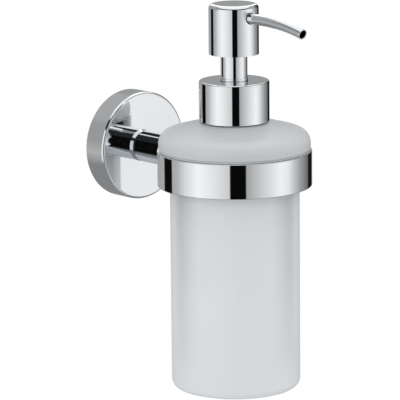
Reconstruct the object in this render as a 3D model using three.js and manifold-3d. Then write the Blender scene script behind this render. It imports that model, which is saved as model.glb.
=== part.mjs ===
// Wall mounted soap dispenser: a chrome wall bracket whose ring carries a frosted glass bottle
// with a screwed-in lotion pump. Millimetres, +Z up. The origin is the centre of the wall plate's
// back face, so the wall is the plane y = 0 and the dispenser stands out from it towards -Y.
// The arm's axis lies at z = 0, and everything about the bottle turns on one upright axis.

import * as THREE from 'three';
import { mergeVertices } from 'three/addons/utils/BufferGeometryUtils.js';
import Module from 'manifold-3d';

const wasm = await Module();
wasm.setup();

// ---- Driving dimensions ----

const glassReach = 74.6; // wall to the bottle's axis

const seatGap = 0.2; // between flat faces that rest on each other
const fitGap = 0.3; // radial, between round pieces that are fixed together or slide
const glassGap = 0.45; // radial, between the bottle and the ring's liner
const screwGap = 0.35; // radial, between the neck's thread and the cap

// Wall side
const rosetteRadius = 25.4;
const rosetteDepth = 12;
const rosetteWall = 1.5;
const rosetteEdge = 1.2;
const plateDepth = 6.5;
const plateFloor = 3;
const wallHoleRadius = 2.3;
const wallHoleSink = 4.4;
const wallHoleOffset = 15;
const grubRadius = 2;
const grubLength = 5;
const grubBite = 3.2; // how far it reaches into the plate's rim
const grubHexRadius = 1.15;

// Arm and its two screws
const armRadius = 7.5;
const armChamfer = 0.8;
const armScrewRadius = 3;
const armScrewHead = 5;
const armScrewHeadHeight = 4;
const armScrewBite = 10;
const armScrewHexRadius = 2.3;
const washerRadius = 6;
const washerDepth = 1;
const ringScrewRadius = 2.5;
const ringScrewHead = 4.6;
const ringScrewLength = 12;
const ringScrewHexRadius = 1.7;
const ringScrewSet = 0.1; // how far its head lies behind the ring's bore
const screwHexDepth = 1.8;

// Ring and liner
const ringWall = 3;
const ringHeight = 16;
const ringBottom = -9.5;
const ringEdge = 0.3;
const linerWall = 2;
const linerFlange = 0.6;
const linerFlangeInset = 1.5; // from the ring's outside
const linerChamfer = 1; // clears the fillet under the bottle's shoulder

// Bottle
const bottleRadius = 29.75;
const bottleBottom = -104.4;
const bottleFillet = 4;
const bottleWall = 3.5;
const bottleFloor = 5;
const bottlePunt = 1.2;
const shoulderInset = 0.6; // from the ring's outside
const shoulderSide = 2.75; // height of its straight side
const shoulderEdge = 6.05;
const shoulderTurn = 75; // degrees of arc from its side into the dome
const shoulderCorner = 0.8; // chamfer round its underside
const shoulderHollow = 5; // from its outside to the space within
const domeHeight = 12.6; // from the shoulder's underside to the collar's foot
const domeBulge = 0.5; // radians of a sine curve that the dome follows
const neckWall = 1.7;
const neckHeight = 13.8; // from the dome's top to the mouth
const neckEdge = 0.4;
const threadHeight = 1.15;
const threadRadius = 1.1;
const threadPitch = 4.23;
const threadTurns = 1.25;
const threadFirst = 4.9; // from the dome's top to the first turn's start

// Closure and pump
const gasketDepth = 1;
const gasketInset = 0.2; // from the neck's outside
const gasketGap = 0.4;
const flangeDepth = 1.2;
const housingGap = 2.2; // radial, between the cylinder and the neck's bore
const housingWall = 1.2;
const valveChamber = 2.9;
const valveChamberDepth = 5.8;
const valveHole = 1.3;
const valveLip = 1.9;
const ballRadius = 2;
const ballGap = 0.2;
const socketWall = 1.6;
const socketDepth = 12.5;
const tubeRadius = 3.2;
const tubeBore = 2.4;
const tubeClearance = 3.9; // dip tube's end to the glass floor
const capTop = 1.2;
const capWall = 0.93;
const capRecess = 1.6; // cap's lower rim above the collar's
const collarWall = 0.8;
const collarEdge = 0.7;
const collarFoot = 1; // how far the dome's top reaches in under the collar

// Guide, plunger and head
const pumpStroke = 11;
const bushDepth = 9.9; // below the neck's mouth
const bushWall = 0.77;
const guideRadius = 6.13;
const guideWall = 0.83;
const guideSet = 8.9; // below the collar's top
const guideInHead = 1.4; // how far it reaches into the head at rest
const guideLip = 1;
const guideLipStep = 0.22;
const guideShown = 12.26; // between the collar and the head
const rodRadius = 3.6;
const rodBore = 1.4;
const rodPocket = 2.5;
const rodPocketDepth = 3.5;
const pistonHeight = 7.6;
const pistonWaist = 1.2;
const springWire = 0.5;
const springInset = 2.1; // from the cylinder's bore to the wire's centre
const springTurns = 7;
const headRadius = 11.45;
const headHeight = 22.95;
const headWall = 1.2;
const headEdge = 2.2;
const coreRecess = 0.8;
const coreGap = 0.4; // radial, between the core and the guide tube
const coreRoof = 4.4; // from the spout's axis down to the core's cavity
const coreBossLength = 7;
const coreChannel = 1.5;
const spoutDepth = 5.75; // its axis below the head's top
const spoutStart = 4;
const spoutStraight = 18;
const spoutReach = 45;
const spoutDrop = 3.5;
const spoutRootRadius = 2.5;
const spoutTipRadius = 2.35;
const spoutBore = 1.9;

// Fineness of round surfaces
const roundSegments = 40;
const ringSegments = 64;
const smallSegments = 24;
const arcSteps = 4;
const spoutSteps = 12;
const spoutSides = 14;
const wireSides = 6;
const springStepsPerTurn = 11;
const threadStepsPerTurn = 16;

// ---- Sizes that follow from them ----

const plateRadius = rosetteRadius - rosetteWall - fitGap;
const rosetteFace = rosetteDepth - rosetteWall;

const ringBore = bottleRadius + glassGap + linerWall + fitGap;
const ringRadius = ringBore + ringWall;
const ringTop = ringBottom + ringHeight;
const linerTop = ringTop + seatGap + linerFlange;
const shoulderRadius = ringRadius - shoulderInset;
const shoulderBottom = linerTop + seatGap;
const domeTop = shoulderBottom + domeHeight;

const guideBore = guideRadius - guideWall;
const guideLipRadius = guideRadius + guideLipStep;
const housingBore = guideRadius + fitGap + bushWall + fitGap;
const housingRadius = housingBore + housingWall;
const neckBore = housingRadius + housingGap;
const neckRadius = neckBore + neckWall;
const threadCrest = neckRadius + threadHeight;
const mouthHeight = domeTop + neckHeight;
const gasketBottom = mouthHeight + seatGap;
const flangeBottom = gasketBottom + gasketDepth + seatGap;
const flangeTop = flangeBottom + flangeDepth;
const capRadius = threadCrest + screwGap + capWall;
const capInside = flangeTop + seatGap;
const capTopHeight = capInside + capTop;
const collarRadius = capRadius + fitGap + collarWall;
const collarBottom = domeTop + fitGap;
const collarTop = capTopHeight + seatGap + collarWall;

const bushBottom = mouthHeight - bushDepth;
const pistonTop = bushBottom - seatGap;
const pistonBottom = pistonTop - pistonHeight;
const springLength = pumpStroke * 2;
const housingFloor = pistonBottom - seatGap - springLength - seatGap;
const chamberBottom = housingFloor - valveChamberDepth;
const seatBottom = chamberBottom - (valveChamber - valveHole);
const socketTop = seatBottom - valveLip;
const socketBottom = socketTop - socketDepth;
const socketBore = tubeRadius + fitGap;

const headBottom = collarTop + guideShown;
const headTop = headBottom + headHeight;
const guideBottom = collarTop - guideSet;
const guideTop = headBottom + guideInHead;
const spoutHeight = headTop - spoutDepth;
const coreCavity = guideLipRadius + coreGap;
const coreCavityTop = spoutHeight - coreRoof;
const coreBoss = guideBore - coreGap;
const rodTop = spoutHeight - spoutRootRadius + 0.1;

// ---- Solids ----

// Turns a closed triangle mesh into a solid that can be cut and joined.
function toSolid(geometry) {
  const bare = geometry.clone();
  bare.deleteAttribute('normal');
  bare.deleteAttribute('uv');
  const merged = mergeVertices(bare, 1e-4);
  const kept = [];
  const index = merged.index.array;
  for (let i = 0; i < index.length; i += 3) {
    const [a, b, c] = [index[i], index[i + 1], index[i + 2]];
    if (a !== b && b !== c && c !== a) kept.push(a, b, c);
  }
  return new wasm.Manifold(new wasm.Mesh({
    numProp: 3,
    vertProperties: merged.attributes.position.array,
    triVerts: new Uint32Array(kept),
  }));
}

function toGeometry(solid) {
  const mesh = solid.getMesh();
  const geometry = new THREE.BufferGeometry();
  geometry.setAttribute('position', new THREE.BufferAttribute(mesh.vertProperties, 3));
  geometry.setIndex(new THREE.BufferAttribute(mesh.triVerts, 1));
  geometry.computeVertexNormals();
  return geometry;
}

// Points of an arc about (r, h), from one angle to another in degrees.
function arc(r, h, radius, from, to, steps = arcSteps) {
  const points = [];
  for (let i = 0; i <= steps; i += 1) {
    const angle = THREE.MathUtils.degToRad(from + ((to - from) * i) / steps);
    points.push([r + radius * Math.cos(angle), h + radius * Math.sin(angle)]);
  }
  return points;
}

// Revolves a closed outline of [radius, height] points about the local Y axis.
function revolve(outline, segments = roundSegments) {
  let area = 0;
  outline.forEach(([r, h], i) => {
    const [nextR, nextH] = outline[(i + 1) % outline.length];
    area += r * nextH - nextR * h;
  });
  const ordered = area > 0 ? outline : [...outline].reverse();
  const points = [...ordered, ordered[0]].map(([r, h]) => new THREE.Vector2(r, h));
  return new THREE.LatheGeometry(points, segments);
}

// The same outline about the upright axis, height along +Z.
function upright(outline, segments) {
  return toSolid(revolve(outline, segments).rotateX(Math.PI / 2));
}

// The same outline about the wall's normal, height measured out from the wall along -Y.
function outFromWall(outline, segments) {
  return toSolid(revolve(outline, segments).rotateX(Math.PI));
}

// A plain round bar or drill, upright, from one height to another.
function uprightBar(radius, from, to, segments = smallSegments) {
  return upright([[0, from], [radius, from], [radius, to], [0, to]], segments);
}

function wallBar(radius, from, to, segments = smallSegments) {
  return outFromWall([[0, from], [radius, from], [radius, to], [0, to]], segments);
}

// Moves a solid by way of its mesh, as three.js does it.
function moved(solid, x, y, z) {
  return toSolid(toGeometry(solid).translate(x, y, z));
}

// A bar of round section along a curve.
function alongCurve(curve, radius, steps) {
  const section = new THREE.Shape();
  section.absarc(0, 0, radius, 0, Math.PI * 2);
  const geometry = new THREE.ExtrudeGeometry(section, {
    extrudePath: curve,
    steps,
    curveSegments: wireSides / 2,
    bevelEnabled: false,
  });
  return toSolid(geometry);
}

class Helix extends THREE.Curve {
  constructor(radius, bottom, height, turns) {
    super();
    Object.assign(this, { radius, bottom, height, turns });
  }

  getPoint(t, target = new THREE.Vector3()) {
    const angle = t * this.turns * Math.PI * 2;
    return target.set(
      this.radius * Math.cos(angle),
      this.radius * Math.sin(angle),
      this.bottom + this.height * t,
    );
  }
}

// ---- Looks ----

function finish(color, roughness, metalness) {
  return new THREE.MeshStandardMaterial({ color, roughness, metalness });
}

const chrome = () => finish(0xd9dcde, 0.06, 1);
const steel = () => finish(0xa9abad, 0.35, 1);
const castZinc = () => finish(0x9fa2a5, 0.55, 1);
const frostedGlass = () => finish(0xd3d9dc, 0.55, 0);
const whitePlastic = () => finish(0xf1f1ee, 0.4, 0);
const clearPlastic = () => finish(0xdfe3e4, 0.25, 0);
const softSeal = () => finish(0xe4e2dc, 0.8, 0);

function piece(name, solid, material) {
  const mesh = new THREE.Mesh(toGeometry(solid), material);
  mesh.name = name;
  return mesh;
}

// ---- Wall bracket ----

// Zinc disc screwed to the wall; its rim carries the rosette and takes the grub screw's tip.
function wallPlate() {
  const pocket = washerRadius + fitGap;
  let solid = outFromWall([[0, 0], [plateRadius, 0], [plateRadius, plateDepth], [0, plateDepth]]);
  solid = solid.subtract(wallBar(pocket, plateFloor, plateDepth + 1));
  for (const side of [-1, 1]) {
    const hole = outFromWall([
      [0, -1],
      [wallHoleRadius, -1],
      [wallHoleRadius, plateDepth - (wallHoleSink - wallHoleRadius)],
      [wallHoleSink, plateDepth],
      [wallHoleSink, plateDepth + 1],
      [0, plateDepth + 1],
    ], smallSegments);
    solid = solid.subtract(moved(hole, side * wallHoleOffset, 0, 0));
  }
  const tipSeat = uprightBar(grubRadius + fitGap, -plateRadius - 1, -plateRadius + grubBite + fitGap);
  return piece('wall_plate', solid.subtract(moved(tipSeat, 0, -plateDepth / 2, 0)), castZinc());
}

// Drawn brass cup, chrome plated, open towards the wall.
function rosette() {
  const inner = rosetteRadius - rosetteWall;
  const screwHole = armScrewRadius + fitGap;
  const corner = arc(rosetteRadius - rosetteEdge, rosetteDepth - rosetteEdge, rosetteEdge, 0, 90);
  const cup = outFromWall([
    [inner, 0],
    [rosetteRadius, 0],
    ...corner,
    [screwHole, rosetteDepth],
    [screwHole, rosetteFace],
    [inner, rosetteFace],
  ]);
  const grubHole = uprightBar(grubRadius + fitGap, -rosetteRadius - 1, -inner + 1);
  return piece('rosette', cup.subtract(moved(grubHole, 0, -plateDepth / 2, 0)), chrome());
}

// Headless socket screw from below that locks the rosette on the plate.
function rosetteGrubScrew() {
  const tip = -plateRadius + grubBite;
  const screw = uprightBar(grubRadius, tip - grubLength, tip);
  const key = uprightBar(grubHexRadius, tip - grubLength - 1, tip - grubLength + screwHexDepth, 6);
  return piece('rosette_grub_screw', moved(screw.subtract(key), 0, -plateDepth / 2, 0), steel());
}

// Solid round bar; its outer end is hollowed to lie against the ring, both ends are tapped.
function arm() {
  const root = rosetteDepth + seatGap;
  const bar = outFromWall([
    [0, root],
    [armRadius - armChamfer, root],
    [armRadius, root + armChamfer],
    [armRadius, glassReach - ringBore],
    [0, glassReach - ringBore],
  ]);
  const ringShape = moved(
    uprightBar(ringRadius + fitGap, ringBottom * 2, ringTop * 2, ringSegments),
    0,
    -glassReach,
    0,
  );
  const wallTap = wallBar(armScrewRadius + fitGap, root - 1, root + armScrewBite + 1);
  const ringTap = wallBar(ringScrewRadius + fitGap, ringScrewTip() - 1, glassReach);
  return piece('arm', bar.subtract(ringShape).subtract(wallTap).subtract(ringTap), chrome());
}

// Socket screw from inside the rosette into the arm.
function armScrew() {
  const under = rosetteFace - seatGap - washerDepth - seatGap;
  const top = under - armScrewHeadHeight;
  const screw = outFromWall([
    [0, top],
    [armScrewHead, top],
    [armScrewHead, under],
    [armScrewRadius, under],
    [armScrewRadius, rosetteDepth + armScrewBite],
    [0, rosetteDepth + armScrewBite],
  ], smallSegments);
  const key = wallBar(armScrewHexRadius, top - 1, top + screwHexDepth, 6);
  return piece('arm_screw', screw.subtract(key), steel());
}

function armWasher() {
  const face = rosetteFace - seatGap;
  const hole = armScrewRadius + fitGap;
  const washer = outFromWall([
    [hole, face - washerDepth],
    [washerRadius, face - washerDepth],
    [washerRadius, face],
    [hole, face],
  ], smallSegments);
  return piece('arm_washer', washer, steel());
}

// Where the countersunk screw's head and tip lie, measured out from the wall.
function ringScrewFace() {
  return glassReach - ringBore - ringScrewSet;
}

function ringScrewTip() {
  return ringScrewFace() - ringScrewLength;
}

function ringScrewShape(gap) {
  const face = ringScrewFace();
  const cone = ringScrewHead - ringScrewRadius;
  return outFromWall([
    [0, ringScrewTip() - gap],
    [ringScrewRadius + gap, ringScrewTip() - gap],
    [ringScrewRadius + gap, face - cone],
    [ringScrewHead + gap, face],
    [ringScrewHead + gap, face + gap],
    [0, face + gap],
  ], smallSegments);
}

// Countersunk screw from inside the ring into the arm.
function ringScrew() {
  const face = ringScrewFace();
  const key = wallBar(ringScrewHexRadius, face - screwHexDepth, face + 1, 6);
  return piece('ring_screw', ringScrewShape(0).subtract(key), steel());
}

// Flat chrome band with lightly broken edges.
function ring() {
  const band = upright([
    [ringBore, ringBottom],
    [ringRadius - ringEdge, ringBottom],
    [ringRadius, ringBottom + ringEdge],
    [ringRadius, ringTop - ringEdge],
    [ringRadius - ringEdge, ringTop],
    [ringBore, ringTop],
  ], ringSegments);
  const sink = moved(ringScrewShape(fitGap), 0, glassReach, 0);
  return piece('ring', band.subtract(sink), chrome());
}

// Clear plastic sleeve that keeps the glass off the metal; its flange carries the shoulder.
function ringLiner() {
  const inner = bottleRadius + glassGap;
  const outer = ringBore - fitGap;
  const flangeEdge = ringRadius - linerFlangeInset;
  const sleeve = upright([
    [inner, ringBottom],
    [outer, ringBottom],
    [outer, ringTop + seatGap],
    [flangeEdge, ringTop + seatGap],
    [flangeEdge, linerTop],
    [inner + linerChamfer, linerTop],
    [inner, linerTop - linerChamfer],
  ]);
  return piece('ring_liner', sleeve, clearPlastic());
}

// ---- Bottle ----

// Pressed glass: straight body, wider shoulder that rests on the liner, low dome, threaded neck.
function bottle() {
  const bodyBore = bottleRadius - bottleWall;
  const shoulderBore = shoulderRadius - shoulderHollow;
  const floor = bottleBottom + bottleFloor;
  const rimRadius = shoulderRadius - shoulderEdge;
  const rimHeight = shoulderBottom + shoulderSide;
  const rimTop = arc(rimRadius, rimHeight, shoulderEdge, 0, shoulderTurn, arcSteps + 2);
  const [footRadius, footHeight] = rimTop[rimTop.length - 1];
  const domeRadius = collarRadius - collarWall - collarFoot;
  const bulge = (share) => Math.sin(share * domeBulge) / Math.sin(domeBulge);
  const domePoint = (share) => [
    THREE.MathUtils.lerp(footRadius, domeRadius, share),
    THREE.MathUtils.lerp(footHeight, domeTop, bulge(share)),
  ];
  const outline = [
    [0, bottleBottom + bottlePunt],
    [bottleRadius * 0.6, bottleBottom + bottlePunt],
    [bottleRadius * 0.72, bottleBottom],
    ...arc(bottleRadius - bottleFillet, bottleBottom + bottleFillet, bottleFillet, -90, 0),
    [bottleRadius, shoulderBottom - linerChamfer / 2],
    [bottleRadius + linerChamfer / 2, shoulderBottom],
    [shoulderRadius - shoulderCorner, shoulderBottom],
    [shoulderRadius, shoulderBottom + shoulderCorner],
    ...rimTop,
    domePoint(0.5),
    [domeRadius, domeTop],
    [neckRadius + 0.5, domeTop + 0.5],
    [neckRadius, domeTop + 1.5],
    [neckRadius, mouthHeight - neckEdge],
    [neckRadius - neckEdge, mouthHeight],
    [neckBore + neckEdge, mouthHeight],
    [neckBore, mouthHeight - neckEdge],
    [neckBore, domeTop],
    [collarRadius, domeTop - bottleWall],
    [shoulderBore, shoulderBottom + shoulderSide],
    [shoulderBore, shoulderBottom + bottleWall / 2],
    [bodyBore + 1, shoulderBottom - 1.5],
    [bodyBore, shoulderBottom - 5],
    ...arc(bodyBore - bottleFillet, floor + bottleFillet, bottleFillet, 0, -90),
    [0, floor + 0.4],
  ];
  const rise = threadPitch * threadTurns;
  const rib = new Helix(threadCrest - threadRadius, domeTop + threadFirst, rise, threadTurns);
  const thread = alongCurve(rib, threadRadius, threadTurns * threadStepsPerTurn);
  return piece('bottle', upright(outline).add(thread), frostedGlass());
}

// ---- Closure, turned on the neck ----

// Soft washer on the bottle's mouth.
function pumpGasket() {
  const inner = housingRadius + gasketGap;
  const outer = neckRadius - gasketInset;
  const washer = upright([
    [inner, gasketBottom],
    [outer, gasketBottom],
    [outer, gasketBottom + gasketDepth],
    [inner, gasketBottom + gasketDepth],
  ], smallSegments);
  return piece('pump_gasket', washer, softSeal());
}

// Plastic screw cap hidden in the chrome collar.
function closureCap() {
  const bore = threadCrest + screwGap;
  const hole = housingBore + gasketGap;
  const capBottom = collarBottom + capRecess;
  const cap = upright([
    [bore, capBottom],
    [capRadius, capBottom],
    [capRadius, capTopHeight],
    [hole, capTopHeight],
    [hole, capInside],
    [bore, capInside],
  ]);
  return piece('closure_cap', cap, whitePlastic());
}

// Drawn chrome cup pressed over the cap.
function collarShell() {
  const inner = collarRadius - collarWall;
  const hole = guideRadius + fitGap;
  const shell = upright([
    [inner, collarBottom],
    [collarRadius, collarBottom],
    ...arc(collarRadius - collarEdge, collarTop - collarEdge, collarEdge, 0, 90, 3),
    [hole, collarTop],
    [hole, collarTop - collarWall],
    [inner, collarTop - collarWall],
  ]);
  return piece('collar_shell', shell, chrome());
}

// ---- Pump body ----

// Plastic cylinder hung by its flange: piston bore, inlet valve seat and dip tube socket.
function pumpHousing() {
  const body = upright([
    [neckRadius, flangeTop],
    [neckRadius, flangeBottom],
    [housingRadius, flangeBottom],
    [housingRadius, housingFloor - housingWall],
    [socketBore + socketWall, housingFloor - housingWall * 2.5],
    [socketBore + socketWall, socketBottom],
    [socketBore, socketBottom],
    [socketBore, socketTop],
    [valveHole, socketTop],
    [valveHole, seatBottom],
    [valveChamber, chamberBottom],
    [valveChamber, housingFloor],
    [housingBore, housingFloor],
    [housingBore, flangeTop],
  ], smallSegments);
  return piece('pump_housing', body, whitePlastic());
}

// Plastic bush in the cylinder's mouth: guides the rod, stops the piston, holds the guide tube.
function guideBush() {
  const outer = housingBore - fitGap;
  const bore = rodRadius + fitGap;
  const seat = guideRadius + fitGap;
  const bush = upright([
    [bore, bushBottom],
    [outer, bushBottom],
    [outer, capTopHeight],
    [seat, capTopHeight],
    [seat, guideBottom - seatGap],
    [bore, guideBottom - seatGap],
  ], smallSegments);
  return piece('guide_bush', bush, whitePlastic());
}

// Chrome tube that stands out of the collar; the head slides down over it.
function guideTube() {
  const lipBottom = collarTop + seatGap;
  const tube = upright([
    [guideBore, guideBottom],
    [guideRadius, guideBottom],
    [guideRadius, lipBottom],
    [guideLipRadius, lipBottom],
    [guideLipRadius, lipBottom + guideLip],
    [guideRadius, lipBottom + guideLip],
    [guideRadius, guideTop],
    [guideBore, guideTop],
  ], smallSegments);
  return piece('guide_tube', tube, chrome());
}

function dipTube() {
  const end = bottleBottom + bottleFloor + tubeClearance;
  const top = socketTop - seatGap;
  const tube = upright([
    [tubeBore, end],
    [tubeRadius, end],
    [tubeRadius, top],
    [tubeBore, top],
  ], smallSegments);
  return piece('dip_tube', tube, clearPlastic());
}

// Steel ball lying in a 45 degree cone that narrows to a hole of the given radius.
function valveBall(name, holeRadius, coneBottom) {
  const height = coneBottom - holeRadius + Math.SQRT2 * (ballRadius + ballGap);
  const ball = toSolid(new THREE.SphereGeometry(ballRadius, 14, 8).rotateX(Math.PI / 2));
  return piece(name, moved(ball, 0, 0, height), steel());
}

// Compression spring between the cylinder's floor and the piston.
function returnSpring() {
  const bottom = housingFloor + seatGap + springWire;
  const top = pistonBottom - seatGap - springWire;
  const coil = new Helix(housingBore - springInset, bottom, top - bottom, springTurns);
  const wire = alongCurve(coil, springWire, springTurns * springStepsPerTurn);
  return piece('return_spring', wire, steel());
}

// ---- Plunger and head ----

// Two-lipped seal on the rod's lower end.
function piston() {
  const lip = housingBore - fitGap;
  const bore = rodRadius + fitGap;
  const third = pistonHeight / 3;
  const seal = upright([
    [bore, pistonBottom],
    [lip - pistonWaist, pistonBottom],
    [lip, pistonBottom + third / 2],
    [lip, pistonBottom + third],
    [lip - pistonWaist, pistonBottom + third * 1.4],
    [lip - pistonWaist, pistonTop - third * 1.4],
    [lip, pistonTop - third],
    [lip, pistonTop],
    [bore, pistonTop],
  ], smallSegments);
  return piece('piston', seal, softSeal());
}

// Hollow plastic rod with the outlet valve's seat in its top.
function pistonRod() {
  const pocketBottom = rodTop - rodPocketDepth;
  const rod = upright([
    [rodBore, pistonBottom + seatGap],
    [rodRadius, pistonBottom + seatGap],
    [rodRadius, rodTop],
    [rodPocket, rodTop],
    [rodPocket, pocketBottom],
    [rodBore, pocketBottom - (rodPocket - rodBore)],
  ], smallSegments);
  return piece('piston_rod', rod, whitePlastic());
}

// A level round drill at the spout's height, from the head's axis outwards along -Y.
function spoutDrill(radius, from, to) {
  return moved(wallBar(radius, from, to), 0, 0, spoutHeight);
}

// Plastic core that joins the rod to the spout inside the chrome head.
function headCore() {
  const outer = headRadius - headWall - fitGap;
  const top = headTop - headWall - fitGap;
  const socketEnd = rodTop + seatGap;
  const socket = rodRadius + fitGap;
  const core = upright([
    [coreCavity, headBottom + coreRecess],
    [outer, headBottom + coreRecess],
    [outer, top - headEdge],
    [outer - headEdge, top],
    [0, top],
    [0, socketEnd],
    [socket, socketEnd],
    [socket, coreCavityTop - coreBossLength],
    [coreBoss, coreCavityTop - coreBossLength],
    [coreBoss, coreCavityTop],
    [coreCavity, coreCavityTop],
  ]);
  const solid = core
    .subtract(uprightBar(coreChannel, socketEnd - 1, spoutHeight, 12))
    .subtract(spoutDrill(coreChannel, 0, spoutStart))
    .subtract(spoutDrill(spoutRootRadius + fitGap, spoutStart - seatGap, headRadius));
  return piece('head_core', solid, whitePlastic());
}

// Turned brass cap, chrome plated, open below, with a hole for the spout.
function headShell() {
  const inner = headRadius - headWall;
  const roof = headTop - headWall;
  const shell = upright([
    [inner, headBottom],
    [headRadius, headBottom],
    ...arc(headRadius - headEdge, headTop - headEdge, headEdge, 0, 90),
    [0, headTop],
    [0, roof],
    [inner - headEdge, roof],
    [inner, roof - headEdge],
  ]);
  const hole = spoutDrill(spoutRootRadius + fitGap, coreCavity, headRadius + 1);
  return piece('head_shell', shell.subtract(hole), chrome());
}

// Straight at the root, then bent down along an arc to the tip; the bore stays even.
function spout() {
  const run = spoutReach - spoutStraight;
  const bendRadius = (run * run + spoutDrop * spoutDrop) / (2 * spoutDrop);
  const bendAngle = Math.asin(run / bendRadius);
  const straight = spoutStraight - spoutStart;
  const length = straight + bendRadius * bendAngle;
  const outline = [];
  for (let i = 0; i <= spoutSteps; i += 1) {
    const t = i / spoutSteps;
    outline.push([THREE.MathUtils.lerp(spoutRootRadius, spoutTipRadius, t), length * t]);
  }
  for (let i = spoutSteps; i >= 0; i -= 1) {
    outline.push([spoutBore, (length * i) / spoutSteps]);
  }
  const tube = revolve(outline, spoutSides);
  const place = tube.attributes.position;
  for (let i = 0; i < place.count; i += 1) {
    const along = place.getY(i);
    const across = place.getZ(i);
    const angle = Math.max(0, along - straight) / bendRadius;
    const level = Math.min(along, straight) + (bendRadius - across) * Math.sin(angle);
    const height = bendRadius * (Math.cos(angle) - 1) + across * (1 - Math.cos(angle));
    place.setXYZ(i, place.getX(i), -spoutStart - level, spoutHeight + height - across);
  }
  return piece('spout', toSolid(tube), chrome());
}

// ---- Assembly ----

const dispenser = new THREE.Group();

const bracket = new THREE.Group();
bracket.add(wallPlate(), rosette(), rosetteGrubScrew(), arm(), armScrew(), armWasher(), ringScrew());
dispenser.add(bracket);

// Everything on the bottle's upright axis.
const aboutGlass = new THREE.Group();
aboutGlass.position.set(0, -glassReach, 0);
aboutGlass.add(ring(), ringLiner(), bottle());
dispenser.add(aboutGlass);

const pump = new THREE.Group();
pump.add(pumpGasket(), closureCap(), collarShell());
pump.add(pumpHousing(), guideBush(), guideTube(), dipTube(), returnSpring());
pump.add(valveBall('inlet_ball', valveHole, seatBottom));
aboutGlass.add(pump);

const plunger = new THREE.Group();
plunger.add(piston(), pistonRod(), headCore(), headShell(), spout());
plunger.add(valveBall('outlet_ball', rodBore, rodTop - rodPocketDepth - (rodPocket - rodBore)));
pump.add(plunger);

export default dispenser;
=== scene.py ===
# A wall mounted soap dispenser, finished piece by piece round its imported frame.
# Metres, +Z up. The wall is the plane y = 0 and the dispenser stands out from it towards -Y.

import math

import bpy
from mathutils import Matrix, Vector


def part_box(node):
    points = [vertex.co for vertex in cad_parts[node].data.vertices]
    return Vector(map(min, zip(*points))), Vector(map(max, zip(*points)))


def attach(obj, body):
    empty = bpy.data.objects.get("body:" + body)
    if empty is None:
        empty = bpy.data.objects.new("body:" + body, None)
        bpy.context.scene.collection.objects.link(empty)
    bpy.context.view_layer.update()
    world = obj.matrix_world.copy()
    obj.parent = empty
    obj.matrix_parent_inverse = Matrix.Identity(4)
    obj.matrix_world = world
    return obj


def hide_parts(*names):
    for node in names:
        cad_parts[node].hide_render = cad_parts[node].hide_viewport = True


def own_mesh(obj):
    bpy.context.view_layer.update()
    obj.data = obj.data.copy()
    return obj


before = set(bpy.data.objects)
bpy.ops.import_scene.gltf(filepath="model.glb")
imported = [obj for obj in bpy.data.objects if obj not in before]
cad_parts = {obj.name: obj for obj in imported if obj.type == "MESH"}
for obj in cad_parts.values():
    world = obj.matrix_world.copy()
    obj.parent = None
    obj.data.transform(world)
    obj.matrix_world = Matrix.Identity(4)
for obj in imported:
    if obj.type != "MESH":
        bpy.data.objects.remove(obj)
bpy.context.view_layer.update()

mm = 0.001


# ---- Wall plate ----
# A disc of die-cast zinc that two countersunk screws hold to the wall.
# The rosette is pushed over its rim and hides it, so only its back can be seen.


def put_down():
    """Leaves edit mode with nothing selected."""
    if bpy.context.mode != "OBJECT":
        bpy.ops.object.mode_set(mode="OBJECT")
    bpy.ops.object.select_all(action="DESELECT")


def take_up(piece):
    put_down()
    piece.select_set(True)
    bpy.context.view_layer.objects.active = piece


touching = 0.0001 * mm


def turn(name, outline, solid=False, sides=128):
    """Turns a piece on the upright axis: a ring of edges is raised and scaled to each
    (radius, height) of the outline. A solid one starts and ends in a flat disc, a hollow one
    comes back to where it began."""
    put_down()
    radius, height = outline[0]
    bpy.ops.mesh.primitive_circle_add(
        vertices=sides,
        radius=radius,
        location=(0, 0, height),
        fill_type="NGON" if solid else "NOTHING",
    )
    piece = bpy.context.object
    piece.name = name
    bpy.ops.object.transform_apply(location=True)
    bpy.ops.object.mode_set(mode="EDIT")
    bpy.ops.mesh.select_all(action="SELECT")
    for next_radius, next_height in outline[1:] if solid else [*outline[1:], outline[0]]:
        rise = (0, 0, next_height - height)
        bpy.ops.mesh.extrude_region_move(TRANSFORM_OT_translate={"value": rise})
        share = next_radius / radius
        bpy.ops.transform.resize(value=(share, share, 1), center_override=(0, 0, next_height))
        radius, height = next_radius, next_height
    bpy.ops.mesh.select_all(action="SELECT")
    bpy.ops.mesh.remove_doubles(threshold=touching)
    bpy.ops.mesh.normals_make_consistent(inside=False)
    bpy.ops.object.mode_set(mode="OBJECT")
    return piece


def stand(piece, place=(0, 0, 0), turned=(0, 0, 0)):
    """Puts a piece in its place, then writes the place into its mesh."""
    take_up(piece)
    piece.location = place
    piece.rotation_euler = turned
    bpy.ops.object.transform_apply(location=True, rotation=True, scale=True)
    return piece


def apply(piece, kind, **settings):
    """Adds a modifier with these settings and applies it."""
    take_up(piece)
    modifier = piece.modifiers.new(kind.lower(), kind)
    for setting, value in settings.items():
        setattr(modifier, setting, value)
    bpy.ops.object.modifier_apply(modifier=modifier.name)


def drill(piece, tool):
    """Cuts the tool's shape out of the piece and throws the tool away."""
    apply(piece, "BOOLEAN", operation="DIFFERENCE", solver="EXACT", object=tool)
    bpy.data.objects.remove(tool)


smooth_below = math.radians(32)


def break_edges(piece, width, segments=3, over=40):
    """Rounds every edge that is sharper than the given angle in degrees, then shades it smooth."""
    apply(
        piece,
        "BEVEL",
        width=width,
        segments=segments,
        limit_method="ANGLE",
        angle_limit=math.radians(over),
    )
    take_up(piece)
    bpy.ops.object.shade_smooth_by_angle(angle=smooth_below)
    apply(piece, "WEIGHTED_NORMAL", mode="FACE_AREA", keep_sharp=True)


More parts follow.
